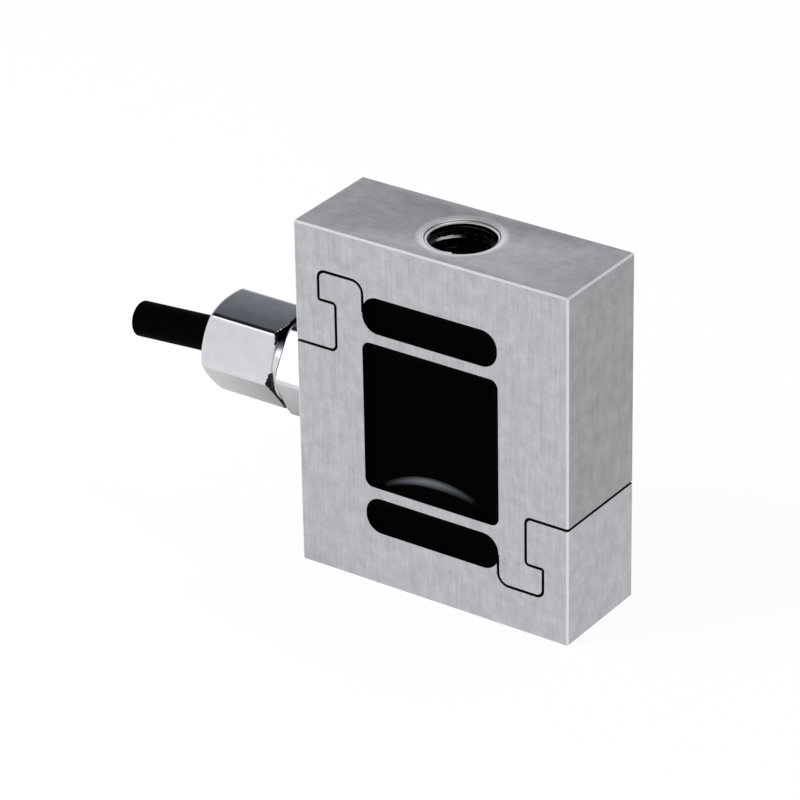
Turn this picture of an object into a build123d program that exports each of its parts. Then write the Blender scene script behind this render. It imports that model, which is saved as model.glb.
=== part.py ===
from build123d import *
import os
from math import atan, cos, degrees, radians, sin, tan

os.makedirs("parts", exist_ok=True)

# Sensing body, one block of alloy steel. The origin is the centre of its bottom face,
# on the load axis; Z is the load axis, X the width and Y the depth.
body_width = 51.0
body_depth = 19.0
body_height = 61.0
edge_break = 0.3

# Cavity in the middle and the slots above and below it, all cut from front to back.
cavity_width = 25.4
cavity_height = 25.8
cavity_corner = 1.5
beam_thickness = 1.8
slot_width = 25.2
slot_height = 6.3
slot_corner = 2.9

# Wire-cut slits. Heights are above the middle of the body, depths are from its side face.
slit_width = 0.5
slit_entry_height = 9.6
hook_ledge_height = 17.9
hook_top_height = 23.0
hook_root_depth = 7.8
hook_tip_depth = 4.6
slit_end_inset = 0.1
slit_corners = [1.0, 0.6, 0.3, 1.3, 2.0]

# Tapped holes on the load axis, M12 x 1.75, with a shallow turned mouth.
load_thread_minor = 10.2
mouth_diameter = 13.5
mouth_slope = 15.0

# Potting compound: the meniscus at each open face of a window.
meniscus_depth = 0.7
meniscus_run = 1.1
meniscus_lip = 0.05

# Cable gland on the left face. Distances along it are outwards from that face.
gland_height = 30.5
gland_thread = 12.5
gland_thread_lead = 0.6
gland_shank_length = 7.5
gland_hole_depth = 8.0
thread_clearance = 0.05
passage_diameter = 6.4
base_hexagon = 15.5
base_hexagon_turn = -2.3
base_hexagon_length = 5.3
base_chamfer_diameter = 16.9
collar_diameter = 13.8
collar_length = 1.5
clamp_thread_length = 7.4
nut_hexagon = 15.0
nut_hexagon_turn = 7.8
nut_length = 14.3
nut_face_diameter = 13.5
nut_back_diameter = 15.6
nut_chamfer = 30.0
nut_exit_diameter = 7.4
nut_exit_wall = 1.8
nut_cone_gap = 0.4
bore_step = 1.6
body_bore = 6.5

# Soft and moulded pieces of the gland.
o_ring_section = 0.8
o_ring_slack = 0.02
o_ring_inset = 0.25
claw_wall = 0.95
claw_ring_length = 3.6
claw_reach = 3.4
claw_fingers = 6
claw_slot = 0.8
seal_clearance = 0.05
seal_relief = 0.5

# Cable stub: four cores and a filler under a braid and a jacket.
cable_diameter = 6.0
jacket_wall = 0.7
shield_wall = 0.25
core_diameter = 1.3
conductor_diameter = 0.7
core_circle = 1.2
filler_diameter = 0.9
jacket_start = 3.0
shield_start = 0.8
cable_end = 38.4
droop_start = 19.1
droop_angle = 4.2

# Strain gauges on the cavity side of the two thin beams.
gauge_length = 6.4
gauge_width = 6.2
gauge_thickness = 0.12
gauge_edge = 0.9
foil_thickness = 0.06
foil_line = 0.28
foil_pitch = 0.6
foil_lines = 6
foil_length = 3.0
foil_tab = 1.3
foil_tab_offset = 1.9
lead_diameter = 0.24
lead_drop = 1.2
left_lead_depth = 2.2
right_lead_depth = 1.1

# Terminal board on the right-hand wall of the cavity.
board_width = 13.0
board_height = 16.0
board_thickness = 1.0
pad_thickness = 0.08
core_pad = 1.6
core_pad_y = 3.6
core_pad_z = 2.7
lead_pad_width = 0.8
lead_pad_height = 1.4
lead_pad_z = 6.4
resistor_length = 2.0
resistor_width = 1.25
resistor_height = 0.55
resistor_edge = 0.08
resistor_spacing = 3.4
core_fan_start = 3.4
core_fan_lead = 2.6
core_strip = 1.2

# Values that follow from the sizes above.
middle = body_height / 2
left_face = -body_width / 2
cavity_top = cavity_height / 2
slot_middle = cavity_top + beam_thickness + slot_height / 2
end_wall = middle - slot_middle - slot_height / 2
side_wall = (body_width - cavity_width) / 2
nut_start = base_hexagon_length + collar_length
nut_end = nut_start + nut_length
shield_diameter = cable_diameter - 2 * jacket_wall
shield_bore = shield_diameter - 2 * shield_wall
board_face = cavity_width / 2 - board_thickness
slot_radius = min(slot_corner, 0.48 * slot_height)
slit_end = slit_end_inset - slot_width / 2

front_view = Plane(origin=(0, 0, middle), x_dir=(1, 0, 0), z_dir=(0, -1, 0))
gland_plane = Plane(origin=(left_face, 0, gland_height), x_dir=(0, 1, 0), z_dir=(1, 0, 0))
gland_section = Plane(origin=(left_face, 0, gland_height), x_dir=(-1, 0, 0), z_dir=(0, 1, 0))
gland_axis = Axis((left_face, 0, gland_height), (-1, 0, 0))


def save(piece, name):
    piece.part.label = name
    export_step(piece.part, f"parts/{name}.step")


def across(distance):
    """Plane across the gland's axis, at a distance outwards from the body's left face."""
    return gland_plane.offset(-distance)


# Sensing body. The slits leave a hook of the side leg inside a pocket of the crosshead,
# so that too much load closes the gap and by-passes the thin beams.
slit_route = [
    (left_face - edge_break, slit_entry_height),
    (left_face + hook_root_depth, slit_entry_height),
    (left_face + hook_root_depth, hook_ledge_height),
    (left_face + hook_tip_depth, hook_ledge_height),
    (left_face + hook_tip_depth, hook_top_height),
    (slit_end, hook_top_height),
    (slit_end, slot_middle),
]

with BuildSketch() as slit:
    with BuildLine():
        FilletPolyline(*slit_route, radius=slit_corners)
    trace(line_width=slit_width)

with BuildPart() as sensing_body:
    with BuildSketch():
        Rectangle(body_width, body_depth)
    extrude(amount=body_height)
    chamfer(sensing_body.edges(), edge_break)
    with BuildSketch(front_view):
        RectangleRounded(cavity_width, cavity_height, cavity_corner)
        with Locations((0, slot_middle), (0, -slot_middle)):
            RectangleRounded(slot_width, slot_height, slot_radius)
        with PolarLocations(0, 2):
            add(slit.sketch)
    extrude(amount=body_depth, both=True, mode=Mode.SUBTRACT)
    top_face = Plane.XY.offset(body_height)
    bottom_face = Plane(origin=(0, 0, 0), x_dir=(1, 0, 0), z_dir=(0, 0, -1))
    with Locations(top_face, bottom_face):
        CounterSinkHole(
            load_thread_minor / 2,
            mouth_diameter / 2,
            depth=end_wall + slot_height / 2,
            counter_sink_angle=180 - 2 * mouth_slope,
        )
    with BuildSketch(gland_plane):
        Circle(gland_thread / 2 + thread_clearance)
    extrude(amount=gland_hole_depth, mode=Mode.SUBTRACT)
    with BuildSketch(gland_plane):
        Circle(passage_diameter / 2)
    extrude(amount=side_wall + cavity_corner, mode=Mode.SUBTRACT)
save(sensing_body, "sensing_body")


# Strain gauges. Each is a carrier with its foil grid; the foil faces the cavity.
gauge_corners = {
    "upper_left": (-1, 1),
    "upper_right": (1, 1),
    "lower_left": (-1, -1),
    "lower_right": (1, -1),
}
gauge_middle = cavity_width / 2 - cavity_corner - gauge_edge - gauge_length / 2
foil_span = foil_pitch * (foil_lines - 1)
tab_x = foil_length / 2 + foil_tab / 2
buried = []

for corner, (side, level) in gauge_corners.items():
    carrier_plane = Plane(
        origin=(side * gauge_middle, 0, middle + level * cavity_top),
        x_dir=(side, 0, 0),
        z_dir=(0, 0, -level),
    )
    with BuildPart() as carrier:
        with BuildSketch(carrier_plane):
            Rectangle(gauge_length, gauge_width)
        extrude(amount=gauge_thickness)
    save(carrier, f"strain_gauge_{corner}")

    with BuildPart() as foil:
        with BuildSketch(carrier_plane.offset(gauge_thickness)):
            with GridLocations(0, foil_pitch, 1, foil_lines):
                Rectangle(foil_length, foil_line)
            for turn in range(foil_lines - 1):
                turn_side = 1 if turn % 2 == 0 else -1
                turn_y = -foil_span / 2 + (turn + 0.5) * foil_pitch
                with Locations((turn_side * foil_length / 2, turn_y)):
                    Rectangle(2 * foil_line, foil_pitch + foil_line)
            for end in (-1, 1):
                with Locations((-tab_x, end * foil_tab_offset)):
                    Rectangle(foil_tab, foil_tab)
                with Locations((-foil_length / 2, end * (foil_span / 2 + foil_tab_offset) / 2)):
                    Rectangle(foil_line, foil_tab_offset - foil_span / 2 + foil_line)
        extrude(amount=foil_thickness)
    save(foil, f"gauge_foil_{corner}")
    buried += [carrier, foil]


# Terminal board, bonded to the cavity's right-hand wall, with its pads and resistors.
board_plane = Plane(origin=(board_face, 0, middle), x_dir=(0, 1, 0), z_dir=(-1, 0, 0))
lead_columns = {-1: foil_tab_offset + lead_pad_width, 1: foil_tab_offset - 0.5 * lead_pad_width}

with BuildPart() as terminal_board:
    with BuildSketch(board_plane):
        Rectangle(board_width, board_height)
    extrude(amount=-board_thickness)
save(terminal_board, "terminal_board")

with BuildPart() as board_pads:
    with BuildSketch(board_plane):
        with GridLocations(2 * core_pad_y, 2 * core_pad_z, 2, 2):
            Rectangle(core_pad, core_pad)
        for column in lead_columns.values():
            with GridLocations(2 * column, 2 * lead_pad_z, 2, 2):
                Rectangle(lead_pad_width, lead_pad_height)
    extrude(amount=pad_thickness)
save(board_pads, "board_pads")
buried += [terminal_board, board_pads]

for name, position in (("zero_resistor", -1), ("span_resistor", 0), ("output_resistor", 1)):
    with BuildPart() as resistor:
        with BuildSketch(board_plane):
            with Locations((position * resistor_spacing, 0)):
                Rectangle(resistor_length, resistor_width)
        extrude(amount=resistor_height)
        chamfer(resistor.faces().sort_by(Axis.X)[0].edges(), resistor_edge)
    save(resistor, name)
    buried.append(resistor)


# Gauge leads. A pair runs from the tabs of each gauge to its own two pads; the leads of
# the left-hand gauges pass under those of the right-hand ones.
foil_face = cavity_top - gauge_thickness - foil_thickness
lead_depths = {-1: left_lead_depth, 1: right_lead_depth}
pad_face = board_face - pad_thickness

for corner, (side, level) in gauge_corners.items():
    lead_x = side * (gauge_middle - tab_x)
    column = lead_columns[side]
    run_z = middle + level * (foil_face - lead_depths[side])
    pad_z = middle + level * lead_pad_z
    with BuildPart() as leads:
        for end in (-1, 1):
            tab_y = end * foil_tab_offset
            with BuildLine() as lead_route:
                Polyline(
                    (lead_x, tab_y, middle + level * foil_face),
                    (lead_x, tab_y, run_z),
                    (pad_face - lead_drop, end * column, pad_z),
                    (pad_face, end * column, pad_z),
                )
            with BuildSketch(Plane(origin=lead_route.line @ 0, z_dir=lead_route.line % 0)):
                RegularPolygon(lead_diameter / 2, 6)
            sweep(path=lead_route.line, transition=Transition.RIGHT)
    save(leads, f"gauge_leads_{corner}")
    buried.append(leads)


# Cable stub. It leaves the gland on its axis and droops a little under its own weight; it
# bends inside the clamping nut.
droop = radians(droop_angle)
droop_run = (cable_end - droop_start) / cos(droop)
cut_end = Plane(
    origin=(left_face - cable_end, 0, gland_height - droop_run * sin(droop)),
    x_dir=(0, 1, 0),
    z_dir=(cos(droop), 0, sin(droop)),
)


def cable_line(y=0, z=0):
    """Where a line at an offset from the cable's axis is cut off and where it bends."""
    bend_x = left_face - droop_start - z * tan(droop / 2)
    return [cut_end.from_local_coords((y, z, 0)), (bend_x, y, gland_height + z)]


def ring(outer, inner=0):
    """Section of one round layer of the cable, across its axis."""
    with BuildSketch() as face:
        Circle(outer / 2)
        if inner:
            Circle(inner / 2, mode=Mode.SUBTRACT)
    return face.sketch


def strands(y, z):
    """Section of one conductor: six strands laid round a seventh have a hexagon's outline."""
    with BuildSketch() as face:
        with Locations((y, z)):
            RegularPolygon(conductor_diameter / 2, 6)
    return face.sketch


def insulation(y, z):
    """Section of the insulation on one conductor."""
    with BuildSketch() as face:
        with Locations((y, z)):
            Circle(core_diameter / 2)
        add(strands(y, z), mode=Mode.SUBTRACT)
    return face.sketch


cable_layers = {
    "cable_jacket": (ring(cable_diameter, shield_diameter), jacket_start),
    "cable_shield": (ring(shield_diameter, shield_bore), shield_start),
    "cable_filler": (ring(filler_diameter), shield_start),
}

for name, (section, start) in cable_layers.items():
    with BuildPart() as layer:
        with BuildLine() as layer_route:
            Polyline(*cable_line(), (left_face - start, 0, gland_height))
        with BuildSketch(cut_end):
            add(section)
        sweep(path=layer_route.line, transition=Transition.RIGHT)
    save(layer, name)


# Cores. They run on through the passage in the body, fan out in the cavity and end on
# the terminal board, where a short length of conductor is bare.
core_names = {"red": (-1, 1), "black": (1, 1), "green": (-1, -1), "white": (1, -1)}
core_offset = core_circle * cos(radians(45))
fan_x = left_face + side_wall + core_fan_start
fan_end = pad_face - core_fan_lead

for colour, (y_side, z_side) in core_names.items():
    core_y = y_side * core_offset
    core_z = z_side * core_offset
    pad_y = y_side * core_pad_y
    core_pad_height = middle + z_side * core_pad_z
    layers = {
        "core": (insulation(core_y, core_z), pad_face - core_strip),
        "conductor": (strands(core_y, core_z), pad_face),
    }
    for name, (section, end_x) in layers.items():
        with BuildPart() as layer:
            with BuildLine() as core_route:
                Polyline(
                    *cable_line(core_y, core_z),
                    (fan_x, core_y, gland_height + core_z),
                    (fan_end, pad_y, core_pad_height),
                    (end_x, pad_y, core_pad_height),
                )
            with BuildSketch(cut_end):
                add(section)
            sweep(path=core_route.line, transition=Transition.RIGHT)
        save(layer, f"{name}_{colour}")
        buried.append(layer)


# Potting. Each filling has the window's outline and sinks a little at both open faces,
# and the centre one is cast round everything in the cavity.
def dished_block(width, height, corner, level):
    """Filling of a window, with a sloping meniscus round the edge of both open faces."""
    lip = meniscus_lip
    meniscus_slope = degrees(atan((meniscus_run - lip) / meniscus_depth))
    with BuildPart() as block:
        with BuildSketch(front_view):
            with Locations((0, level)):
                RectangleRounded(width, height, corner)
        extrude(amount=body_depth / 2, both=True)
        for end in (-1, 1):
            with BuildSketch(front_view.offset(end * body_depth / 2)):
                with Locations((0, level)):
                    RectangleRounded(width - 2 * lip, height - 2 * lip, corner - lip)
            extrude(amount=-end * meniscus_depth, taper=meniscus_slope, mode=Mode.SUBTRACT)
    return block


with BuildPart() as centre_potting:
    add(dished_block(cavity_width, cavity_height, cavity_corner, 0).part)
    for piece in buried:
        add(piece.part, mode=Mode.SUBTRACT)
save(centre_potting, "centre_potting")

for name, level in (("upper_potting", slot_middle), ("lower_potting", -slot_middle)):
    save(dished_block(slot_width, slot_height, slot_radius, level), name)


# Gland body: a turned part with a hexagon, screwed into the side of the sensing body.
base_flat = base_hexagon / 2
thread_radius = gland_thread / 2
claw_radius = thread_radius - claw_wall
clamp_end = nut_start + clamp_thread_length
claw_seat = clamp_end - claw_ring_length - bore_step
thread_lead = gland_thread_lead
o_ring_radius = thread_radius + o_ring_inset + o_ring_section / 2

with BuildPart() as gland_body:
    with BuildSketch(gland_plane):
        RegularPolygon(base_flat, 6, major_radius=False, rotation=base_hexagon_turn)
    extrude(amount=-base_hexagon_length)
    with BuildSketch(gland_section):
        with BuildLine():
            chamfer_run = (base_hexagon - base_chamfer_diameter / 2) * tan(radians(nut_chamfer))
            Polyline(
                (0, 0),
                (0, base_hexagon),
                (base_hexagon_length - chamfer_run, base_hexagon),
                (base_hexagon_length, base_chamfer_diameter / 2),
                (base_hexagon_length, 0),
                close=True,
            )
        make_face()
    revolve(axis=gland_axis, mode=Mode.INTERSECT)
    with BuildSketch(gland_section):
        with BuildLine():
            Polyline(
                (-gland_shank_length, 0),
                (-gland_shank_length, thread_radius - thread_lead),
                (-gland_shank_length + thread_lead, thread_radius),
                (base_hexagon_length, thread_radius),
                (base_hexagon_length, collar_diameter / 2),
                (nut_start, collar_diameter / 2),
                (nut_start, thread_radius),
                (clamp_end - thread_lead, thread_radius),
                (clamp_end, thread_radius - thread_lead),
                (clamp_end, 0),
                close=True,
            )
        make_face()
    revolve(axis=gland_axis)
    with BuildSketch(gland_section):
        with BuildLine():
            Polyline(
                (-gland_shank_length, 0),
                (-gland_shank_length, body_bore / 2),
                (claw_seat, body_bore / 2),
                (claw_seat, claw_radius + seal_clearance),
                (clamp_end, claw_radius + seal_clearance),
                (clamp_end, 0),
                close=True,
            )
        make_face()
    revolve(axis=gland_axis, mode=Mode.SUBTRACT)
    with BuildSketch(gland_section):
        with Locations((o_ring_section / 2, o_ring_radius)):
            Rectangle(o_ring_section, o_ring_section)
    revolve(axis=gland_axis, mode=Mode.SUBTRACT)
save(gland_body, "gland_body")

with BuildPart() as gland_o_ring:
    with BuildSketch(gland_section):
        with Locations((o_ring_section / 2, o_ring_radius)):
            Rectangle(o_ring_section - 2 * o_ring_slack, o_ring_section - 2 * o_ring_slack)
    revolve(axis=gland_axis)
save(gland_o_ring, "gland_o_ring")


# Clamping nut: a long hexagon with a coned mouth that closes the claw on the cable.
nut_flat = nut_hexagon / 2
cone_start = clamp_end + nut_cone_gap
cone_end = nut_end - nut_exit_wall
nut_bore = thread_radius + thread_clearance

with BuildPart() as gland_nut:
    with BuildSketch(across(nut_start)):
        RegularPolygon(nut_flat, 6, major_radius=False, rotation=nut_hexagon_turn)
    extrude(amount=-nut_length)
    with BuildSketch(gland_section):
        with BuildLine():
            face_run = (nut_hexagon - nut_face_diameter / 2) * tan(radians(nut_chamfer))
            back_run = (nut_hexagon - nut_back_diameter / 2) * tan(radians(nut_chamfer))
            Polyline(
                (nut_start, 0),
                (nut_start, nut_back_diameter / 2),
                (nut_start + back_run, nut_hexagon),
                (nut_end - face_run, nut_hexagon),
                (nut_end, nut_face_diameter / 2),
                (nut_end, 0),
                close=True,
            )
        make_face()
    revolve(axis=gland_axis, mode=Mode.INTERSECT)
    with BuildSketch(gland_section):
        with BuildLine():
            Polyline(
                (nut_start, 0),
                (nut_start, nut_bore),
                (cone_start, nut_bore),
                (cone_end, nut_exit_diameter / 2),
                (nut_end, nut_exit_diameter / 2),
                (nut_end, 0),
                close=True,
            )
        make_face()
    revolve(axis=gland_axis, mode=Mode.SUBTRACT)
save(gland_nut, "gland_nut")


# Claw: a moulded ring whose fingers are pressed on the seal by the nut's cone.
cone_slope = (nut_bore - nut_exit_diameter / 2) / (cone_end - cone_start)
claw_bore = cable_diameter / 2 + claw_wall
claw_end = claw_seat + bore_step + claw_ring_length + claw_reach
cone_meet = cone_start + (nut_bore - claw_radius) / cone_slope

with BuildPart() as gland_claw:
    with BuildSketch(gland_section):
        with BuildLine():
            Polyline(
                (claw_seat, claw_bore),
                (claw_seat, claw_radius),
                (cone_meet, claw_radius),
                (claw_end, claw_radius - (claw_end - cone_meet) * cone_slope),
                (claw_end, claw_bore),
                close=True,
            )
        make_face()
    revolve(axis=gland_axis)
    with BuildSketch(across(claw_seat + claw_ring_length)):
        with PolarLocations(0, claw_fingers):
            with Locations(((claw_bore + claw_radius) / 2, 0)):
                Rectangle(2 * claw_wall, claw_slot)
    extrude(amount=-(claw_end - claw_seat), mode=Mode.SUBTRACT)
save(gland_claw, "gland_claw")

with BuildPart() as gland_seal:
    with BuildSketch(gland_section):
        with BuildLine():
            Polyline(
                (claw_seat, cable_diameter / 2),
                (claw_seat, claw_bore - seal_clearance),
                (claw_end - seal_relief, claw_bore - seal_clearance),
                (claw_end, claw_bore - 2 * seal_clearance - seal_relief / 2),
                (claw_end, cable_diameter / 2),
                close=True,
            )
        make_face()
    revolve(axis=gland_axis)
save(gland_seal, "gland_seal")
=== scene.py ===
from math import atan2, cos, hypot, pi, radians, sin, tan

import bmesh
import bpy
import numpy as np
from mathutils import Matrix, Vector


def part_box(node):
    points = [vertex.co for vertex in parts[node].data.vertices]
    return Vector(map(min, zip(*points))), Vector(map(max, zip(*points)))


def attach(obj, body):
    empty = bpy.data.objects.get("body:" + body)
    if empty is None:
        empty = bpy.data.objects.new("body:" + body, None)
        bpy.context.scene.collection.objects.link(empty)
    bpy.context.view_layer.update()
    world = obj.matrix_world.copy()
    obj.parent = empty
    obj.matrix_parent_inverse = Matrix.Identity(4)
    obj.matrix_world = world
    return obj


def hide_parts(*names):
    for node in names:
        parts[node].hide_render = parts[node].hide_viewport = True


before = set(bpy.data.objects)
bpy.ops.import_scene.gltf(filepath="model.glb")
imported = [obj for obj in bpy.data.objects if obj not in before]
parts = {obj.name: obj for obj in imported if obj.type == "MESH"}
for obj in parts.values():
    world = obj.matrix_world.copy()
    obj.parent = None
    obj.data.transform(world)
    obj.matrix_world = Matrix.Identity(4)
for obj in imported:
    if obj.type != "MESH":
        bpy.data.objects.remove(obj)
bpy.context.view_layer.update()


# Sensing body. One block of alloy steel, sawn, milled and surface ground, then cut through
# by wire from front to back. Its edges are broken by hand, and two holes are tapped M12 on
# the load axis, with a shallow turned mouth. It carries everything else.
MM = 0.001
block_low, block_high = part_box("sensing_body")
block_height = block_high.z - block_low.z
slot_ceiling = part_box("upper_potting")[1].z
bore_depth = block_high.z - slot_ceiling
touching = 1e-6
same_point = 1e-7
edge_break = 0.3 * MM
square_on = 0.9
slanted = 0.5
mouth_radius = 6.75 * MM
thread_minor = 5.1 * MM
thread_major = 6.0 * MM
thread_pitch = 1.75 * MM
thread_start_depth = 0.6 * MM
thread_rise = 1.4 * MM
thread_fade = 0.7 * MM
crest_taper = 0.08
crest_inset = 0.06 * MM
crest_share = 0.125
flank_share = 0.3125
thread_start_angle = radians(-72.5)
# Painted highlight on one flank of the thread, and painted shade on the rest of it.
highlight_turns = (1.68, 1.86)
highlight_share = (0.53, 0.78)
highlight_middle = (-4.76 * MM, 2.75 * MM, 58.33 * MM)
highlight_reach = (0.8 * MM, 2.4 * MM)
thread_columns = 144
thread_step = 0.08 * MM
mouth_lip = 5.64 * MM
mouth_run_out = 0.14 * MM
mouth_start_step = 0.5 * MM
run_out_power = 8
# Radius and depth of each turned ring, and then what the last three add to the lip, in mm.
mouth_turning = [
    (6.75, 0),
    (6.42, 0.14),
    (6.16, 0.16),
    (6.04, 0.22),
    (5.98, 0.42),
    (5.90, 0.44),
    (5.86, 0.32),
]
lip_turning = [(0.05, 0.41), (0, 0.45), (-0.04, 0.52)]
step_rings = (3, 4)
# Painted highlight: a lighter ring on the end faces round each tapped hole.
ring_highlight_radii = (6.9 * MM, 7.5 * MM)
painted_ring_highlight_colour = (0.78, 0.785, 0.80)
thread_highlight_colour = (0.95, 0.95, 0.96)
hole_shade_colour = (0.025, 0.025, 0.026)
right_slit = 20.9 * MM
steel_colour = (0.61, 0.615, 0.635)
steel_dark_colour = (0.415, 0.42, 0.44)
scratch_upright = (4400, 4400, 130)
scratch_lying = (130, 2000, 2000)
scratch_depth = 0.012 * MM
scratch_strength = 0.6
scratch_gloss = (0.36, 0.48)
end_facing = 0.7
cloud_fineness = (420, 420, 420)
cloud_weight = 1.1
tone_range = (0.73, 1.37)


def put(tree, kind, sockets=(), **settings):
    """Adds a shader node; a socket's value is a number, a colour or another node's output."""
    made = tree.nodes.new("ShaderNode" + kind)
    for key, value in settings.items():
        setattr(made, key, value)
    for key, value in dict(sockets).items():
        if isinstance(value, bpy.types.NodeSocket):
            tree.links.new(value, made.inputs[key])
        else:
            made.inputs[key].default_value = value
    return made


def finish_of(name, colour, roughness, metallic=0.0, specular=0.5):
    """A new material and its surface shader, with the values that are even all over."""
    made = bpy.data.materials.new(name)
    made.use_nodes = True
    surface = made.node_tree.nodes["Principled BSDF"]
    surface.inputs["Base Color"].default_value = (*colour, 1)
    surface.inputs["Roughness"].default_value = roughness
    surface.inputs["Metallic"].default_value = metallic
    surface.inputs["Specular IOR Level"].default_value = specular
    made.diffuse_color = (*colour, 1)
    return made, made.node_tree, surface


def place_in(tree, stretch):
    """The point's own place on the object, stretched along each axis, in texture units."""
    spot = put(tree, "TexCoord").outputs["Object"]
    return put(tree, "Mapping", {"Vector": spot, "Scale": stretch}).outputs["Vector"]


def mottle(tree, place, detail=3.0, roughness=0.55):
    """Even random variation from 0 to 1."""
    sockets = {"Vector": place, "Scale": 1.0, "Detail": detail, "Roughness": roughness}
    return put(tree, "TexNoise", sockets).outputs["Fac"]


def spread(tree, value, low, high, from_low=0.3, from_high=0.7):
    """Takes a variation to the range from low to high."""
    sockets = {"Value": value, "From Min": from_low, "From Max": from_high, "To Min": low, "To Max": high}
    return put(tree, "MapRange", sockets).outputs["Result"]


def two_tone(tree, share, first, second):
    """A colour between first and second."""
    made = put(tree, "Mix", {"Factor": share}, data_type="RGBA")
    made.inputs["A"].default_value = (*first, 1)
    made.inputs["B"].default_value = (*second, 1)
    return next(o for o in made.outputs if o.type == "RGBA")


def over(tree, share, under, colour):
    """A colour laid over another node's colour."""
    made = put(tree, "Mix", {"Factor": share}, data_type="RGBA")
    tree.links.new(under, made.inputs["A"])
    made.inputs["B"].default_value = (*colour, 1)
    return next(o for o in made.outputs if o.type == "RGBA")


def relief(tree, surface, height, depth, strength=1.0):
    """Fine relief of a real depth, in metres."""
    bump = put(tree, "Bump", {"Height": height, "Distance": depth, "Strength": strength})
    tree.links.new(bump.outputs["Normal"], surface.inputs["Normal"])


def ground_steel(name, shade):
    """Surface-ground faces: fine scratches along Z on the sides and along X on the ends.
    A lighter ring round each tapped hole is a painted highlight at the edge of its mouth."""
    pale = tuple(part * shade for part in steel_colour)
    deep = tuple(part * shade for part in steel_dark_colour)
    made, tree, surface = finish_of(name, pale, 0.42, metallic=0.82)
    upright = place_in(tree, scratch_upright)
    lying = place_in(tree, scratch_lying)
    facing = put(tree, "SeparateXYZ", {"Vector": put(tree, "NewGeometry").outputs["Normal"]})
    height = put(tree, "Math", {0: facing.outputs["Z"]}, operation="ABSOLUTE").outputs[0]
    is_end = put(tree, "Math", {0: height, 1: end_facing}, operation="GREATER_THAN").outputs[0]
    grain_place = put(tree, "Mix", {"Factor": is_end}, data_type="VECTOR")
    tree.links.new(upright, grain_place.inputs["A"])
    tree.links.new(lying, grain_place.inputs["B"])
    grain = mottle(tree, next(o for o in grain_place.outputs if o.type == "VECTOR"), 4.0, 0.6)
    cloud = mottle(tree, place_in(tree, cloud_fineness), 4.0, 0.7)
    both = put(tree, "Math", {0: cloud, 1: cloud_weight, 2: grain}, operation="MULTIPLY_ADD").outputs[0]
    tone = spread(tree, both, 0, 1, *tone_range)
    from_axis = put(tree, "VectorMath", {0: place_in(tree, (1, 1, 0))}, operation="LENGTH").outputs["Value"]
    ring_highlight = spread(tree, from_axis, 1, 0, *ring_highlight_radii)
    colour = over(tree, ring_highlight, two_tone(tree, tone, deep, pale), painted_ring_highlight_colour)
    tree.links.new(colour, surface.inputs["Base Color"])
    tree.links.new(spread(tree, grain, *scratch_gloss), surface.inputs["Roughness"])
    relief(tree, surface, grain, scratch_depth, scratch_strength)
    return made


def broken_edge():
    """Edges broken with a fine stone, their colour lighter than the ground faces: a painted highlight along
    each edge.
    """
    made, tree, surface = finish_of("broken_edge", (0.84, 0.84, 0.86), 0.45, metallic=0.5)
    nicks = mottle(tree, place_in(tree, (1500, 1500, 1500)))
    tree.links.new(spread(tree, nicks, 0.42, 0.6), surface.inputs["Roughness"])
    relief(tree, surface, nicks, 0.01 * MM)
    return made


def wire_cut_wall():
    """Wire-eroded walls with fine lines from front to back, coloured near-black: a dull skin darkened by
    painted shade in the narrow slits and windows.
    """
    made, tree, surface = finish_of("wire_cut_wall", (0.015, 0.015, 0.016), 0.6, metallic=0.5)
    lines = mottle(tree, place_in(tree, (6000, 250, 6000)))
    shade = two_tone(tree, spread(tree, lines, 0, 1), (0.01, 0.01, 0.011), (0.02, 0.02, 0.021))
    tree.links.new(shade, surface.inputs["Base Color"])
    relief(tree, surface, lines, 0.01 * MM)
    return made


def turned_mouth():
    """Turned mouth of a tapped hole: bright, with fine rings from the tool."""
    made, tree, surface = finish_of("turned_mouth", (0.78, 0.78, 0.79), 0.3, metallic=0.75)
    sockets = {"Vector": place_in(tree, (1, 1, 1)), "Scale": 1500.0, "Distortion": 0.5}
    rings = put(tree, "TexWave", sockets, wave_type="RINGS", rings_direction="Z").outputs["Fac"]
    tree.links.new(spread(tree, rings, 0.26, 0.36, 0, 1), surface.inputs["Roughness"])
    relief(tree, surface, rings, 0.001 * MM)
    return made


def mouth_step():
    """Upright step in the mouth, painted darker than the turned rings beside it: a painted shade line round
    the mouth.
    """
    made, tree, surface = finish_of("mouth_step", (0.14, 0.14, 0.145), 0.4, metallic=0.7)
    smear = mottle(tree, place_in(tree, (1500, 1500, 1500)))
    tree.links.new(spread(tree, smear, 0.35, 0.45), surface.inputs["Roughness"])
    relief(tree, surface, smear, 0.003 * MM)
    return made


def shaded_thread(name, roughness, metallic, with_highlight):
    """Tapped wall, painted near-black as shade in the hole, or with a painted highlight on one flank."""
    made, tree, surface = finish_of(name, hole_shade_colour, roughness, metallic)
    smear = mottle(tree, place_in(tree, (900, 900, 3000)))
    tree.links.new(spread(tree, smear, roughness * 0.8, roughness * 1.3), surface.inputs["Roughness"])
    relief(tree, surface, smear, 0.003 * MM)
    if with_highlight:
        away = {0: place_in(tree, (1, 1, 1)), 1: highlight_middle}
        away = put(tree, "VectorMath", away, operation="DISTANCE").outputs["Value"]
        unlit_share = spread(tree, away, 0, 1, *highlight_reach)
        tree.links.new(two_tone(tree, unlit_share, thread_highlight_colour, hole_shade_colour), surface.inputs["Base Color"])
    return made


def skin(rows, closed=False):
    """Vertices and faces of a surface drawn through rings of as many points each."""
    rows = np.asarray(rows)
    count, around = rows.shape[:2]
    faces = []
    for row in range(count if closed else count - 1):
        here = row * around
        above = (row + 1) % count * around
        for column in range(around):
            beside = (column + 1) % around
            faces.append((here + column, here + beside, above + beside, above + column))
    return rows.reshape(-1, 3), faces


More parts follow.
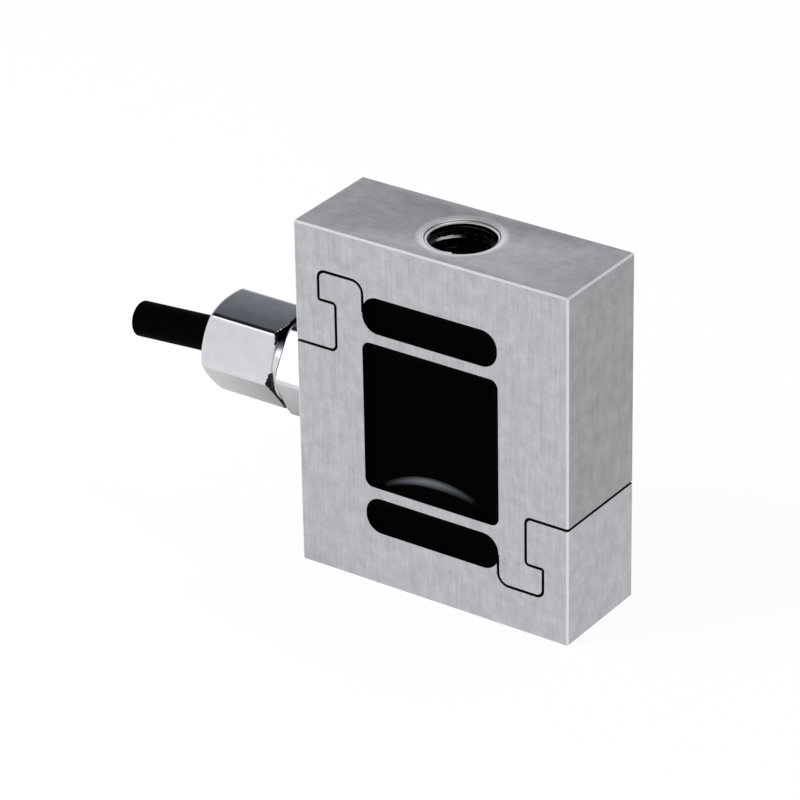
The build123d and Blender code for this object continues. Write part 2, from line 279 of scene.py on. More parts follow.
def tapped_wall(outward):
    """Mouth and thread of one tapped hole down to the slot, and the finish of each face."""
    angles = np.linspace(-pi, pi, thread_columns, endpoint=False)
    turned = ((angles - thread_start_angle) / (2 * pi)) % 1
    if outward < 0:
        turned = turned[::-1]
    rings = [(np.full(thread_columns, radius * MM), depth * MM) for radius, depth in mouth_turning]
    run_out = mouth_run_out * (1 - turned) ** run_out_power
    lip = mouth_lip + run_out - mouth_start_step * turned ** run_out_power
    rings += [(lip + added * MM, depth * MM) for added, depth in lip_turning]
    finishes = [np.full(thread_columns, STEP if ring in step_rings else MOUTH) for ring in range(len(rings))]
    # Painted highlight: a patch of one flank takes the light thread finish; all else takes the painted
    # shade.
    in_reach = (turned > highlight_share[0]) & (turned < highlight_share[1])
    for depth in np.arange(thread_start_depth, bore_depth, thread_step):
        turns = (depth - thread_start_depth) / thread_pitch + turned
        on_flank = (turns > highlight_turns[0]) & (turns < highlight_turns[1])
        finishes.append(np.where(on_flank & in_reach, HIGHLIGHTED, THREAD))
        groove = np.clip((0.5 - np.abs(turns % 1 - 0.5) - crest_share) / flank_share, 0, 1)
        fade = min(1, (bore_depth - depth) / thread_fade, (depth - thread_start_depth) / thread_rise)
        crest = np.maximum(thread_minor, lip - crest_inset - crest_taper * (depth - thread_start_depth))
        rings.append((crest + (thread_major - crest) * groove * fade, depth))
    rings.append((np.full(thread_columns, thread_minor), bore_depth))
    face = block_high.z if outward > 0 else block_low.z
    rows = []
    for radius, depth in rings:
        level = np.full(thread_columns, face - outward * depth)
        rows.append(np.stack([radius * np.cos(angles), radius * np.sin(angles), level], axis=1))
    return rows, np.concatenate(finishes)


def in_bore(face, outward):
    """Whether a face of the block belongs to the plain bore that the thread takes the place of."""
    middle = face.calc_center_median()
    end = block_high.z if outward > 0 else block_low.z
    depth = (end - middle.z) * outward
    return middle.xy.length < mouth_radius and touching < depth < bore_depth - touching


def rim_point(column, radius, level):
    """Place of one column of the thread on a rim."""
    turn = 2 * pi * column / thread_columns - pi
    return Vector((radius * cos(turn), radius * sin(turn), level))


def match_rim(shape, rim, radius):
    """Gives the plain rim of a bore a vertex at each column of the thread."""
    half = thread_columns // 2
    for edge in rim:
        vert, last_vert = edge.verts
        first, last = [round((atan2(end.co.y, end.co.x) / pi + 1) * half) for end in (vert, last_vert)]
        ways = (last - first + half) % thread_columns - half
        level = vert.co.z
        vert.co = rim_point(first, radius, level)
        last_vert.co = rim_point(last, radius, level)
        for number in range(1, abs(ways)):
            vert = bmesh.utils.edge_split(edge, vert, 0.5)[1]
            vert.co = rim_point(first + (number if ways > 0 else -number), radius, level)


block_finishes = [
    ground_steel("ground_steel", 1.0),
    # Painted shade: darker copies of the ground steel for the right face, much darker above the slit and a
    # little darker below it.
    ground_steel("ground_leg_shaded", 0.70),
    ground_steel("ground_foot_shaded", 0.97),
    broken_edge(),
    wire_cut_wall(),
    turned_mouth(),
    mouth_step(),
    shaded_thread("shaded_thread", 0.15, 1.0, with_highlight=False),
    shaded_thread("thread_highlight", 0.4, 0.1, with_highlight=True),
]
GROUND, SHADED_LEG, SHADED_FOOT, EDGE, CUT, MOUTH, STEP, THREAD, HIGHLIGHTED = range(len(block_finishes))


def finish_for(face):
    """The block's finish on one face, by where it lies and where it looks."""
    sides = sorted(abs(part) for part in face.normal)
    middle = face.calc_center_median()
    inside = min(min(middle - block_low), min(block_high - middle))
    # Painted shade: the right face is darker above the right-hand slit and a little darker below it.
    if inside < touching and face.normal.x > square_on:
        return SHADED_LEG if middle.z > right_slit else SHADED_FOOT
    if inside < touching:
        return GROUND
    if inside < edge_break and sides[1] > slanted:
        return EDGE
    return CUT


block_mesh = parts["sensing_body"].data.copy()
block_mesh.attributes.remove(block_mesh.attributes["custom_normal"])
block_mesh.materials.clear()
for finish in block_finishes:
    block_mesh.materials.append(finish)
shape = bmesh.new()
shape.from_mesh(block_mesh)
bmesh.ops.remove_doubles(shape, verts=shape.verts, dist=same_point)
for face in shape.faces:
    face.material_index = finish_for(face)
for outward in (1, -1):
    plain = [face for face in shape.faces if in_bore(face, outward)]
    bmesh.ops.delete(shape, geom=plain, context="FACES")
    open_edges = [edge for edge in shape.edges if edge.is_boundary]
    rows, finishes = tapped_wall(outward)
    points, faces = skin(rows)
    verts = [shape.verts.new(point) for point in points]
    for corners, finish in zip(faces, finishes):
        wall = shape.faces.new([verts[corner] for corner in corners])
        wall.material_index = int(finish)
    for x, y, level in (rows[0][0], rows[-1][0]):
        rim = [edge for edge in open_edges if abs(edge.verts[0].co.z - level) < touching]
        match_rim(shape, rim, hypot(x, y))
    open_verts = [vert for vert in shape.verts if vert.is_boundary]
    bmesh.ops.remove_doubles(shape, verts=open_verts, dist=touching)
bmesh.ops.recalc_face_normals(shape, faces=shape.faces)
shape.to_mesh(block_mesh)
shape.free()


def new_piece(name, mesh, slot, *replaced, sharp=30):
    """A piece that rides on the load cell and takes the place of CAD nodes."""
    mesh.shade_smooth()
    mesh.set_sharp_from_angle(angle=radians(sharp))
    made = bpy.data.objects.new(name, mesh)
    bpy.context.scene.collection.objects.link(made)
    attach(made, "root")
    if replaced:
        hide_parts(*replaced)
    return made


new_piece("ground_block", block_mesh, "body_steel", "sensing_body")


# Strain gauges. A foil grid of constantan on a thin carrier, cemented to each thin beam
# from inside the cavity, with two fine copper leads soldered to its tabs.
def give(finish, *nodes):
    """Gives CAD nodes a finish and leaves their shape alone."""
    for node in nodes:
        mesh = parts[node].data
        mesh.materials.clear()
        mesh.materials.append(finish)


def plain_finish(name, colour, roughness, grain, depth, metallic=0.0, specular=0.5, swing=0.12):
    """A finish with a fine grain of one size in its colour, its gloss and its relief."""
    made, tree, surface = finish_of(name, colour, roughness, metallic, specular)
    place = place_in(tree, (1 / grain, 1 / grain, 1 / grain))
    fine = mottle(tree, place)
    share = spread(tree, fine, 0, 1)
    deep = tuple(part * (1 - swing) for part in colour)
    pale = tuple(min(1, part * (1 + swing)) for part in colour)
    tree.links.new(two_tone(tree, share, deep, pale), surface.inputs["Base Color"])
    gloss = spread(tree, fine, roughness * 0.85, min(1, roughness * 1.15))
    tree.links.new(gloss, surface.inputs["Roughness"])
    relief(tree, surface, fine, depth)
    return made


carrier_film = plain_finish("carrier_film", (0.55, 0.30, 0.07), 0.35, 0.3 * MM, 0.004 * MM)
gauge_foil = plain_finish("gauge_foil", (0.62, 0.55, 0.46), 0.3, 0.1 * MM, 0.002 * MM, metallic=1.0)
tinned_copper = plain_finish("tinned_copper", (0.72, 0.70, 0.67), 0.25, 0.1 * MM, 0.002 * MM, metallic=1.0)
corners = [f"{level}_{side}" for level in ("upper", "lower") for side in ("left", "right")]
for corner in corners:
    give(carrier_film, f"strain_gauge_{corner}")
    give(gauge_foil, f"gauge_foil_{corner}")
    give(tinned_copper, f"gauge_leads_{corner}")


# Terminal board. Glass-filled epoxy with tinned pads, cemented to the cavity's wall. Three
# chip resistors on it trim the bridge.
def glass_epoxy():
    """Green laminate with the weave of its glass cloth."""
    made, tree, surface = finish_of("glass_epoxy", (0.03, 0.16, 0.06), 0.4)
    place = place_in(tree, (1, 1, 1))
    turns = [put(tree, "TexWave", {"Vector": place, "Scale": 900.0}, bands_direction=way) for way in "YZ"]
    weave = put(tree, "Math", {0: turns[0].outputs["Fac"], 1: turns[1].outputs["Fac"]}, operation="MULTIPLY")
    shade = two_tone(tree, weave.outputs[0], (0.02, 0.11, 0.04), (0.04, 0.2, 0.08))
    tree.links.new(shade, surface.inputs["Base Color"])
    relief(tree, surface, weave.outputs[0], 0.01 * MM)
    return made


give(glass_epoxy(), "terminal_board")
give(plain_finish("solder", (0.7, 0.7, 0.7), 0.3, 0.4 * MM, 0.01 * MM, metallic=1.0), "board_pads")
resistor_body = plain_finish("resistor_body", (0.02, 0.02, 0.022), 0.35, 0.2 * MM, 0.004 * MM)
give(resistor_body, "zero_resistor", "span_resistor", "output_resistor")


# Cable. Four insulated cores laid round a filler, under a braid of tinned copper and a
# jacket of black plastic. It is cut square a little way out of the gland.
def braid_finish():
    """Tinned wires crossing each other round the cable."""
    made, tree, surface = finish_of("braid", (0.6, 0.59, 0.57), 0.35, metallic=1.0)
    place = place_in(tree, (1, 1, 1))
    turns = []
    for lean in (40, -40):
        turned = put(tree, "Mapping", {"Vector": place, "Rotation": (0, 0, radians(lean))})
        wave = put(tree, "TexWave", {"Vector": turned.outputs["Vector"], "Scale": 1000.0})
        turns.append(wave.outputs["Fac"])
    wires = put(tree, "Math", {0: turns[0], 1: turns[1]}, operation="MAXIMUM").outputs[0]
    shade = two_tone(tree, wires, (0.2, 0.19, 0.18), (0.66, 0.65, 0.62))
    tree.links.new(shade, surface.inputs["Base Color"])
    relief(tree, surface, wires, 0.05 * MM)
    return made


core_colours = {
    "red": (0.55, 0.02, 0.02),
    "black": (0.012, 0.012, 0.013),
    "green": (0.02, 0.3, 0.06),
    "white": (0.75, 0.75, 0.72),
}
jacket_colour = (0.0008, 0.0007, 0.0008)
jacket_black = plain_finish("jacket_black", jacket_colour, 0.6, 0.25 * MM, 0.012 * MM, specular=0.01)
filler_yarn = plain_finish("filler_yarn", (0.6, 0.58, 0.5), 0.9, 0.08 * MM, 0.03 * MM)
bare_copper = plain_finish("bare_copper", (0.72, 0.34, 0.17), 0.3, 0.12 * MM, 0.01 * MM, metallic=1.0)
give(jacket_black, "cable_jacket")
give(filler_yarn, "cable_filler")
give(braid_finish(), "cable_shield")
for name, colour in core_colours.items():
    give(plain_finish(f"insulation_{name}", colour, 0.4, 0.3 * MM, 0.005 * MM), f"core_{name}")
    give(bare_copper, f"conductor_{name}")


# Gland body. Turned from hexagon brass bar, bored for the cable and nickel plated, and
# screwed into the left face of the block against its sealing ring. A claw and a rubber
# sleeve inside it grip the cable.
gland_axis_height = (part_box("gland_o_ring")[0].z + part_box("gland_o_ring")[1].z) / 2
gland_face = block_low.x
gland_columns = 24
corner_crowding = 2.2
half_flat = radians(30)
corner_turn = radians(60)
corner_rounding = 0.42 * MM
cone_steps = np.array([0, 0.06, 0.14, 0.25, 0.4, 0.55, 0.7, 0.85, 1.0, 1.2, 1.5]) * MM
chamfer_angle = radians(30)
thread_radius = 6.25 * MM
base_hexagon = 15.5 * MM
base_turn = radians(-2.3)
base_length = 5.3 * MM
base_chamfer_radius = 8.45 * MM
collar_radius = 7.3 * MM
nut_start = gland_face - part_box("gland_nut")[1].x
nut_end = gland_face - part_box("gland_nut")[0].x
shank_end = gland_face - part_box("gland_body")[1].x
clamp_end = gland_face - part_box("gland_body")[0].x
thread_lead = 0.6 * MM
claw_seat = 9.0 * MM
claw_bore = 5.35 * MM
cable_bore = 3.25 * MM
groove_inner = 6.5 * MM
groove_outer = 7.3 * MM
groove_depth = 0.8 * MM
nickel_colour = (0.72, 0.725, 0.745)
# Painted shade: dark nickel on the gland's top facets, beside the collar and on the nut's back cone.
gland_shade_colour = (0.02, 0.02, 0.022)
shade_top_height = 5.4 * MM
shade_top_fade = 0.3 * MM
top_facing = 0.95
cone_rows = 3


def plated_nickel():
    """Bright nickel on machined brass, a little uneven as plating is."""
    made, tree, surface = finish_of("plated_nickel", nickel_colour, 0.14, metallic=1.0)
    cloud = mottle(tree, place_in(tree, cloud_fineness), 4.0)
    shade = two_tone(tree, spread(tree, cloud, 0, 1), (0.69, 0.695, 0.72), (0.74, 0.745, 0.765))
    tree.links.new(shade, surface.inputs["Base Color"])
    tree.links.new(spread(tree, cloud, 0.12, 0.18), surface.inputs["Roughness"])
    relief(tree, surface, cloud, 0.002 * MM)
    return made


def recess_nickel():
    """The same plating in the gap between gland and nut, painted dark above a height: painted shade in the
    top of the gap.
    """
    made, tree, surface = finish_of("recess_nickel", nickel_colour, 0.2, metallic=1.0)
    height = put(tree, "SeparateXYZ", {"Vector": place_in(tree, (1, 1, 1))}).outputs["Z"]
    edge = gland_axis_height + shade_top_height
    shade_share = spread(tree, height, 0, 1, edge - shade_top_fade, edge + shade_top_fade)
    tree.links.new(two_tone(tree, shade_share, nickel_colour, gland_shade_colour), surface.inputs["Base Color"])
    relief(tree, surface, mottle(tree, place_in(tree, (700, 700, 700))), 0.002 * MM)
    return made


def soft_least(first, second, rounding):
    """The lesser of two radii, with the corner between them rounded."""
    share = np.clip(0.5 + 0.5 * (second - first) / rounding, 0, 1)
    return second * (1 - share) + first * share - rounding * share * (1 - share)


def hexagon_angles(turn):
    """Angles round a hexagon, close together at its corners."""
    step = np.linspace(-1, 1, gland_columns, endpoint=False)
    side = np.sign(step) * np.abs(step) ** corner_crowding * half_flat
    return np.concatenate([turn + corner_turn * corner + side for corner in range(6)])


def hexagon_radius(angles, across_flats, turn, crown):
    """Radius of a hexagon with rounded corners and flats that polishing has crowned."""
    from_corner = (angles - turn + half_flat) % corner_turn - half_flat
    one = across_flats / 2 / np.cos(from_corner - half_flat)
    other = across_flats / 2 / np.cos(from_corner + half_flat)
    across = np.tan(half_flat - np.abs(from_corner)) / tan(half_flat)
    return soft_least(one, other, corner_rounding) - crown * across ** 2


def gland_row(distance, radius, angles):
    """One ring round the gland's axis, at a distance out from the block's left face."""
    radius = np.broadcast_to(radius, angles.shape)
    along = np.full(angles.shape, gland_face - distance)
    return np.stack([along, radius * np.cos(angles), gland_axis_height + radius * np.sin(angles)], axis=1)


def ring_mesh(name, rows):
    """Closed mesh through rings that come back to the first one."""
    points, faces = skin(rows, closed=True)
    mesh = bpy.data.meshes.new(name)
    mesh.from_pydata(points.tolist(), [], faces)
    shape = bmesh.new()
    shape.from_mesh(mesh)
    bmesh.ops.recalc_face_normals(shape, faces=shape.faces)
    shape.to_mesh(mesh)
    shape.free()
    return mesh


def turned_hexagon(start, end, across_flats, turn, start_radius, end_radius, crown=0.0):
    """Rings of a hexagon whose corners are coned off at both ends."""
    angles = hexagon_angles(turn)
    flats = hexagon_radius(angles, across_flats, turn, crown)
    stations = np.concatenate([start + cone_steps, end - cone_steps[::-1]])
    rows = []
    for station in stations:
        start_cone = start_radius + (station - start) / tan(chamfer_angle)
        end_cone = end_radius + (end - station) / tan(chamfer_angle)
        radius = soft_least(flats, np.minimum(start_cone, end_cone), corner_rounding)
        rows.append(gland_row(station, radius, angles))
    return rows, angles


nickel = plated_nickel()
shaded_nickel = plain_finish("nickel_painted_shade", gland_shade_colour, 0.3, 0.5 * MM, 0.002 * MM, metallic=1.0)
base_ends = (base_hexagon, base_chamfer_radius)
hexagon_rows, angles = turned_hexagon(0, base_length, base_hexagon, base_turn, *base_ends)
inner_profile = [
    (shank_end, cable_bore),
    (shank_end, thread_radius - thread_lead),
    (shank_end + thread_lead, thread_radius),
    (0, thread_radius),
    (0, groove_inner),
    (groove_depth, groove_inner),
    (groove_depth, groove_outer),
    (0, groove_outer),
]
outer_profile = [
    (base_length, collar_radius),
    (nut_start, collar_radius),
    (nut_start, thread_radius),
    (clamp_end - thread_lead, thread_radius),
    (clamp_end, thread_radius - thread_lead),
    (clamp_end, claw_bore),
    (claw_seat, claw_bore),
    (claw_seat, cable_bore),
]
gland_rows = [gland_row(distance, radius, angles) for distance, radius in inner_profile]
gland_rows += hexagon_rows
gland_rows += [gland_row(distance, radius, angles) for distance, radius in outer_profile]
gland_mesh = ring_mesh("plated_gland", gland_rows)
for finish in (nickel, shaded_nickel, recess_nickel()):
    gland_mesh.materials.append(finish)
DARK_NICKEL, RECESS = 1, 2
collar_row = len(inner_profile) + len(hexagon_rows)
# Painted shade: the base's top facets and the cone rows beside the collar take the dark nickel, and the
# collar is painted dark above a height.
for face in gland_mesh.polygons:
    row = face.index // len(angles)
    if row == collar_row:
        face.material_index = RECESS
    elif collar_row - cone_rows <= row < collar_row:
        face.material_index = DARK_NICKEL
    elif row >= len(inner_profile) and face.normal.z > top_facing:
        face.material_index = DARK_NICKEL
new_piece("plated_gland", gland_mesh, "gland_metal", "gland_body")
nitrile = plain_finish("nitrile_rubber", (0.01, 0.01, 0.011), 0.6, 0.3 * MM, 0.01 * MM, specular=0.3)
give(nitrile, "gland_o_ring", "gland_seal")
give(plain_finish("claw_nylon", (0.03, 0.03, 0.032), 0.45, 0.5 * MM, 0.01 * MM), "gland_claw")


# Clamping nut. Long hexagon of the same plated brass, coned off at both ends, its flats
# slightly crowned by polishing. It screws over the gland's thread and closes the claw on
# the cable.
nut_hexagon = 15.0 * MM
nut_turn = radians(7.8)
nut_crown = 0.11 * MM
nut_back_radius = 7.8 * MM
nut_face_radius = 6.75 * MM
nut_exit_radius = 3.7 * MM
nut_exit_wall = 1.8 * MM
nut_cone_start = 14.6 * MM
nut_thread_bore = 6.3 * MM
exit_break = 0.15 * MM
back_cone_facing = 0.3
back_cone_length = 1.0 * MM
lit_band_low = 0.7 * MM
lit_band_high = 5.0 * MM

nut_ends = (nut_back_radius, nut_face_radius, nut_crown)
nut_rows, angles = turned_hexagon(nut_start, nut_end, nut_hexagon, nut_turn, *nut_ends)
nut_profile = [
    (nut_end, nut_exit_radius + exit_break),
    (nut_end - exit_break, nut_exit_radius),
    (nut_end - nut_exit_wall, nut_exit_radius),
    (nut_cone_start, nut_thread_bore),
    (nut_start, nut_thread_bore),
]
nut_rows += [gland_row(distance, radius, angles) for distance, radius in nut_profile]
nut_mesh = ring_mesh("plated_nut", nut_rows)
for finish in (nickel, shaded_nickel):
    nut_mesh.materials.append(finish)
# Painted shade: the nut's back cone takes the dark nickel outside a band just above the axis.
for face in nut_mesh.polygons:
    on_cone = face.normal.x > back_cone_facing and gland_face - face.center.x < nut_start + back_cone_length
    if on_cone and not lit_band_low < face.center.z - gland_axis_height < lit_band_high:
        face.material_index = DARK_NICKEL
new_piece("plated_nut", nut_mesh, "gland_metal", "gland_nut")


# Potting. Black sealing compound is poured into the three windows from the front and from
# the back. It wets the edges, sinks as it sets and stays glossy; in the cavity it slumps
# in a low swell above the lower beam.
sink = 0.7 * MM
wet_run = 0.45 * MM
wet_lip = 0.05 * MM
window_columns = 160
window_rows = 40
edge_crowding = 1.7
flat_middle = 0.02
window_shares = 1 - (1 - flat_middle) * np.linspace(0, 1, window_rows) ** edge_crowding
cavity_corner = 1.5 * MM
slot_corner = 2.9 * MM
swell_middle = (-1.0 * MM, 17.2 * MM)
swell_reach = (11.0 * MM, 4.2 * MM)
swell_height = 0.5 * MM
swell_edge = 0.93
swell_sharpness = 30
compound_colour = (0.0004, 0.0004, 0.0004)
# Painted highlight: a grey crescent on the cavity's front face, over the swell.
crescent_highlight_colour = (0.115, 0.125, 0.14)
crescent_top = (1.07 * MM, 3.52 * MM, 18.33 * MM)
crescent_bottom = (1.07 * MM, -0.9 * MM, 21.85 * MM)
crescent_fade = 0.34 * MM
crescent_middle = (-0.8 * MM, 21.0 * MM, 5.2 * MM)
crescent_reach = 3.6 * MM


def potting_black(name, painted_crescent):
    """Black compound; on the cavity's front, a grey crescent over the swell is a painted highlight."""
    made, tree, surface = finish_of(name, compound_colour, 0.22, specular=0.006)
    film = mottle(tree, place_in(tree, (300, 300, 300)))
    tree.links.new(spread(tree, film, 0.18, 0.3), surface.inputs["Roughness"])
    relief(tree, surface, film, 0.02 * MM)
    if painted_crescent:
        flat = place_in(tree, (1, 0, 1))
        share = 1.0
        rounds = [(crescent_top, crescent_fade, 1, 0), (crescent_bottom, crescent_fade, 0, 1)]
        rounds.append((crescent_middle, crescent_reach, 1, 0))
        for (x, z, radius), fade, inner, outer in rounds:
            reach = put(tree, "VectorMath", {0: flat, 1: (x, 0, z)}, operation="DISTANCE").outputs["Value"]
            side = spread(tree, reach, inner, outer, radius - fade, radius + fade)
            share = put(tree, "Math", {0: share, 1: side}, operation="MULTIPLY").outputs[0]
        depth = put(tree, "SeparateXYZ", {"Vector": place_in(tree, (1, 1, 1))}).outputs["Y"]
        front = put(tree, "Math", {0: depth, 1: 0.0}, operation="LESS_THAN").outputs[0]
        share = put(tree, "Math", {0: share, 1: front}, operation="MULTIPLY").outputs[0]
        tree.links.new(two_tone(tree, share, compound_colour, crescent_highlight_colour), surface.inputs["Base Color"])
    return made


def window_outline(width, height, corner):
    """Points round a window with rounded corners, even in angle about its middle."""
    points = []
    quarter = window_columns // 4
    for number in range(4):
        start = radians(90) * number
        x_side, z_side = [(1, 1), (-1, 1), (-1, -1), (1, -1)][number]
        arc = [start + radians(90) * step / (quarter // 2) for step in range(quarter // 2 + 1)]
        middle = (x_side * (width / 2 - corner), z_side * (height / 2 - corner))
        points += [(middle[0] + corner * cos(turn), middle[1] + corner * sin(turn)) for turn in arc]
        onward = [(-1, 1), (-1, -1), (1, -1), (1, 1)][number]
        length = (width if number % 2 == 0 else height) - 2 * corner
        run = [length * (step + 1) / (quarter // 2) for step in range(quarter // 2 - 1)]
        last = points[-1]
        if number % 2 == 0:
            points += [(last[0] + onward[0] * part, last[1]) for part in run]
        else:
            points += [(last[0], last[1] + onward[1] * part) for part in run]
    return np.array(points)


def filling(name, node, corner, compound, swell=False):
    """Potting of one window: both open faces sink to a meniscus, and one carries a swell."""
    low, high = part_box(node)
    middle = (low + high) / 2
    width, depth, height = high.x - low.x, high.y - low.y, high.z - low.z
    outline = window_outline(width, height, corner)
    rows = []
    for end in (-1, 1):
        face_rows = []
        for share in window_shares:
            spot = outline * share
            inner = np.abs(spot) - (np.array([width, height]) / 2 - corner)
            outside = np.linalg.norm(np.maximum(inner, 0), axis=1) + np.minimum(inner.max(axis=1), 0)
            from_edge = np.maximum(corner - outside, 0)
            fall = wet_lip + (sink - wet_lip) * (1 - np.exp(-from_edge / wet_run))
            if swell and end < 0:
                place = spot + np.array([middle.x, middle.z])
                ring = np.linalg.norm((place - np.array(swell_middle)) / np.array(swell_reach), axis=1)
                rise = 1 / (1 + np.exp((ring - swell_edge) * swell_sharpness))
                fall -= swell_height * rise * (1 - np.exp(-from_edge / wet_run))
            y = middle.y + end * (depth / 2 - fall)
            face_rows.append(np.stack([middle.x + spot[:, 0], y, middle.z + spot[:, 1]], axis=1))
        rows += face_rows[::-1] if end < 0 else face_rows
    points, faces = skin(rows)
    around = len(outline)
    faces += [tuple(range(around)), tuple(range(len(points) - around, len(points)))]
    mesh = bpy.data.meshes.new(name)
    mesh.from_pydata(points.tolist(), [], faces)
    shape = bmesh.new()
    shape.from_mesh(mesh)
    bmesh.ops.recalc_face_normals(shape, faces=shape.faces)
    shape.to_mesh(mesh)
    shape.free()
    mesh.materials.append(compound)
    new_piece(name, mesh, "potting", node, sharp=50)


cavity_compound = potting_black("cavity_compound", painted_crescent=True)
slot_compound = potting_black("slot_compound", painted_crescent=False)
filling("cavity_filling", "centre_potting", cavity_corner, cavity_compound, swell=True)
filling("upper_filling", "upper_potting", slot_corner, slot_compound)
filling("lower_filling", "lower_potting", slot_corner, slot_compound)


# Studio. A white floor under soft light, and the camera where the picture was taken from.
floor_size = 3.0
floor_shadow = 0.07
floor_in_metal = 0.94
floor_under_gland = 0.38
shade_middle = (-0.040, 0.002, 0)
shade_reach = (0.025, 0.015, 1)
shade_fade = (0.3, 1.3)


def studio_floor():
    """White to the eye, with a faint shadow, and dim in the metal close under the gland."""
    made = bpy.data.materials.new("studio_floor")
    made.use_nodes = True
    tree = made.node_tree
    tree.nodes.clear()
    lit = put(tree, "BsdfDiffuse", {"Color": (0.9, 0.9, 0.9, 1)})
    white = put(tree, "Emission", {"Color": (1, 1, 1, 1), "Strength": 1.0})
    path = put(tree, "LightPath").outputs
    seen = put(tree, "Math", {0: path["Is Camera Ray"], 1: path["Is Transmission Ray"]}, operation="MAXIMUM")
    seen = put(tree, "Math", {0: seen.outputs[0], 1: 1 - floor_shadow}, operation="MULTIPLY")
    plain = put(tree, "MixShader", {0: seen.outputs[0], 1: lit.outputs[0], 2: white.outputs[0]})
    spot = put(tree, "NewGeometry").outputs["Position"]
    away = put(tree, "VectorMath", {0: spot, 1: shade_middle}, operation="SUBTRACT").outputs["Vector"]
    away = put(tree, "VectorMath", {0: away, 1: shade_reach}, operation="DIVIDE").outputs["Vector"]
    away = put(tree, "VectorMath", {0: away}, operation="LENGTH").outputs["Value"]
    level = spread(tree, away, floor_under_gland, floor_in_metal, *shade_fade)
    mirrored = put(tree, "Emission", {"Color": (1, 1, 1, 1), "Strength": level})
    both = put(tree, "MixShader", {0: path["Is Glossy Ray"], 1: plain.outputs[0], 2: mirrored.outputs[0]})
    put(tree, "OutputMaterial", {"Surface": both.outputs[0]})
    return made


floor_mesh = bpy.data.meshes.new("studio_floor")
half = floor_size / 2
floor_corners = [(-half, -half, 0), (half, -half, 0), (half, half, 0), (-half, half, 0)]
floor_mesh.from_pydata(floor_corners, [], [(0, 1, 2, 3)])
floor_mesh.materials.append(studio_floor())
floor = bpy.data.objects.new("studio_floor", floor_mesh)
bpy.context.scene.collection.objects.link(floor)

world = bpy.data.worlds.new("studio")
world.use_nodes = True
bpy.context.scene.world = world
sky = world.node_tree
sky.nodes.clear()
looking = put(sky, "TexCoord").outputs["Generated"]
ramp = put(sky, "ValToRGB", {"Fac": put(sky, "SeparateXYZ", {"Vector": looking}).outputs["Z"]})
ramp.color_ramp.interpolation = "EASE"
sky_stops = [
    (0.0, (1.0, 1.0, 1.03)),
    (0.18, (0.88, 0.88, 0.91)),
    (0.46, (0.62, 0.63, 0.65)),
    (0.60, (0.20, 0.21, 0.235)),
    (0.67, (0.106, 0.12, 0.138)),
    (0.76, (0.01, 0.01, 0.01)),
    (1.0, (0.02, 0.02, 0.02)),
]
for number, (place, colour) in enumerate(sky_stops):
    if number < 2:
        stop = ramp.color_ramp.elements[number]
        stop.position = place
    else:
        stop = ramp.color_ramp.elements.new(place)
    stop.color = (*colour, 1)
mirrored_sky = ramp.outputs["Color"]
# Way to each softbox that the metal mirrors, degrees to its full light and to none, and level.
front_softbox = ((-0.507, -0.743, 0.437), 6, 11, 1.6)
overhead_softbox = ((0.02, 0.30, 0.954), 15, 21, 1.3)
for way, full, none, level in (front_softbox, overhead_softbox):
    nearness = put(sky, "VectorMath", {0: looking, 1: way}, operation="DOT_PRODUCT").outputs["Value"]
    share = spread(sky, nearness, 0, 1, cos(radians(none)), cos(radians(full)))
    mirrored_sky = over(sky, share, mirrored_sky, (level, level, level))
path = put(sky, "LightPath").outputs
room_colour = (0.55, 0.56, 0.57, 1)
mirrored = put(sky, "Background", {"Color": mirrored_sky, "Strength": 1.0})
around = put(sky, "Background", {"Color": room_colour, "Strength": 1.0})
seen_white = put(sky, "Background", {"Color": (1, 1, 1, 1), "Strength": 1.0})
lighting = put(sky, "MixShader", {0: path["Is Glossy Ray"], 1: around.outputs[0], 2: mirrored.outputs[0]})
direct = put(sky, "Math", {0: path["Is Camera Ray"], 1: path["Is Transmission Ray"]}, operation="MAXIMUM")
both = put(sky, "MixShader", {0: direct.outputs[0], 1: lighting.outputs[0], 2: seen_white.outputs[0]})
put(sky, "OutputWorld", {"Surface": both.outputs[0]})

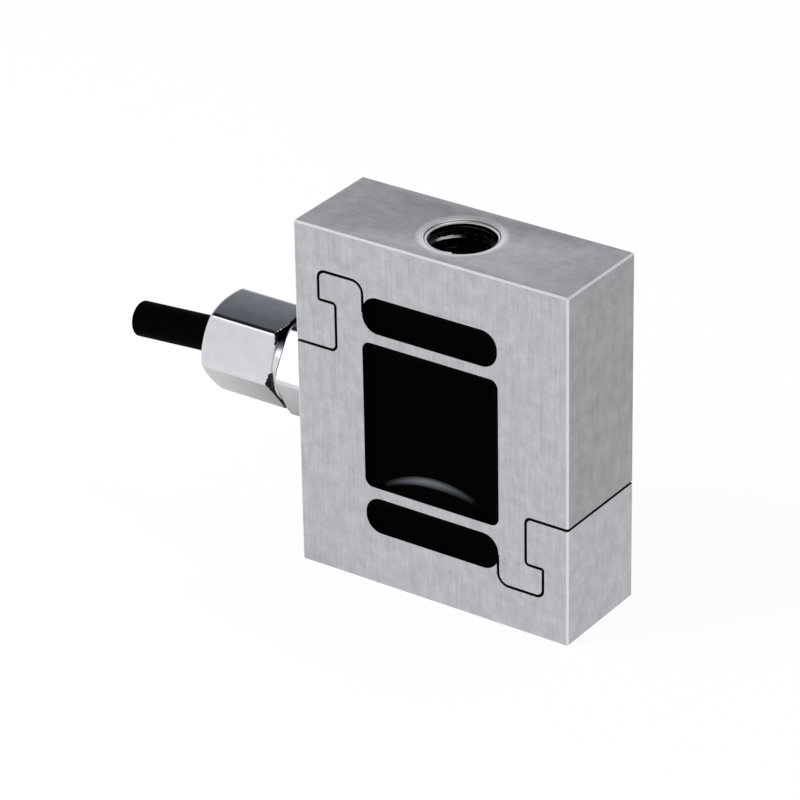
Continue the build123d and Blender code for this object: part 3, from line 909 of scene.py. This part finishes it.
cell_middle = Vector((-0.005, 0, 0.03))


def soft_lamp(name, azimuth, elevation, distance, size, power):
    """A square softbox that looks at the load cell and isn't mirrored in its metal."""
    lamp = bpy.data.lights.new(name, "AREA")
    lamp.size = size
    lamp.energy = power
    lamp.use_shadow = True
    made = bpy.data.objects.new(name, lamp)
    turn, rise = radians(azimuth), radians(elevation)
    back = Vector((sin(turn) * cos(rise), -cos(turn) * cos(rise), sin(rise)))
    made.location = cell_middle + back * distance
    made.rotation_mode = "QUATERNION"
    made.rotation_quaternion = back.to_track_quat("Z", "Y")
    made.visible_glossy = False
    bpy.context.scene.collection.objects.link(made)


soft_lamp("front_left_softbox", azimuth=-45, elevation=40, distance=0.6, size=0.30, power=2.4)
soft_lamp("right_softbox", azimuth=80, elevation=35, distance=0.7, size=0.4, power=0.4)
soft_lamp("overhead_softbox", azimuth=150, elevation=70, distance=0.6, size=0.12, power=0.5)

# Camera, found from the block's corners in the picture.
picture_size = 800
camera_azimuth = 35.11
camera_elevation = 28.05
camera_roll = -1.087
camera_distance = 697.4 * MM
focal_pixels = 4422.0
aim_right = -10.14 * MM
aim_up = 1.55 * MM

turn, rise, roll = radians(camera_azimuth), radians(camera_elevation), radians(camera_roll)
back = Vector((sin(turn) * cos(rise), -cos(turn) * cos(rise), sin(rise)))
level_right = Vector((cos(turn), sin(turn), 0))
level_up = back.cross(level_right)
right = level_right * cos(roll) + level_up * sin(roll)
up_way = level_up * cos(roll) - level_right * sin(roll)
lens = bpy.data.cameras.new("photo_camera")
lens.sensor_width = 36
lens.lens = focal_pixels * lens.sensor_width / picture_size
camera = bpy.data.objects.new("photo_camera", lens)
camera.matrix_world = Matrix((right, up_way, back)).transposed().to_4x4()
aim = Vector((0, 0, block_height / 2)) + right * aim_right + up_way * aim_up
camera.location = aim + back * camera_distance
lens.clip_start = 0.05
lens.clip_end = 10
bpy.context.scene.collection.objects.link(camera)
bpy.context.scene.camera = camera
bpy.context.scene.view_settings.view_transform = "Standard"
